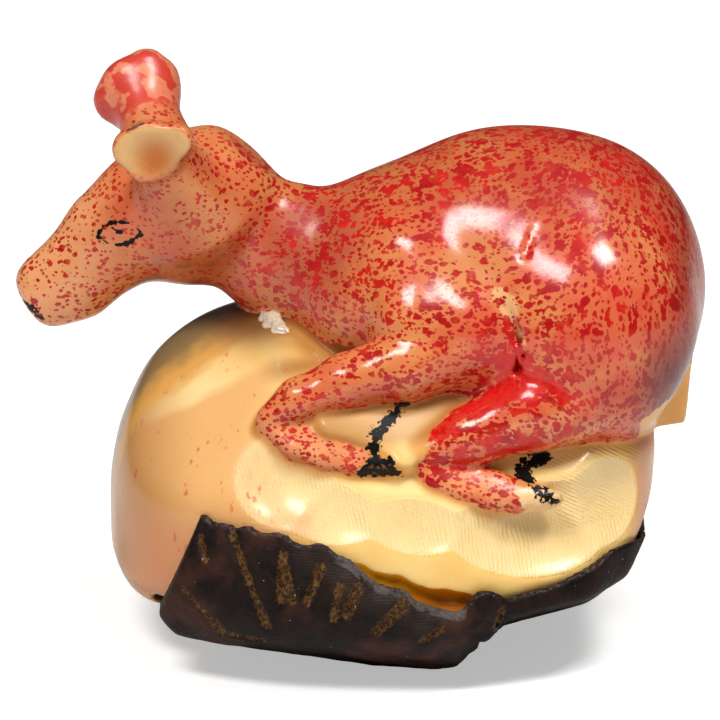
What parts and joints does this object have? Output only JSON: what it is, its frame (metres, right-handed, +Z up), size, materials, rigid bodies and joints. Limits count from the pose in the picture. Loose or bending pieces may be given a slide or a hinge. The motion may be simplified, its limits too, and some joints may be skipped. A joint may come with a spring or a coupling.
{
  "type": "tagua deer carving",
  "caption": "Small painted palm-nut carving of a deer lying with folded legs on the rest of its nut, dark husk left underneath.",
  "frame": {"origin": "middle of the footprint, at the level it rests on", "axes": "-X towards the muzzle, +X towards the rump, -Y towards the side that shows, +Z up"},
  "size_m": [0.0602, 0.0401, 0.0508],
  "materials": {
    "ivory_nut": "hard ivory-coloured palm nut, carved and polished; the deer is dabbed with red and the whole is lacquered",
    "dark_husk": "dark brown-black nut skin, fibrous, semi-gloss, cut edges lighter"
  },
  "bodies": {
    "root": {"deer_and_nut": "ivory_nut", "nut_husk": "dark_husk"}
  },
  "joints": []
}
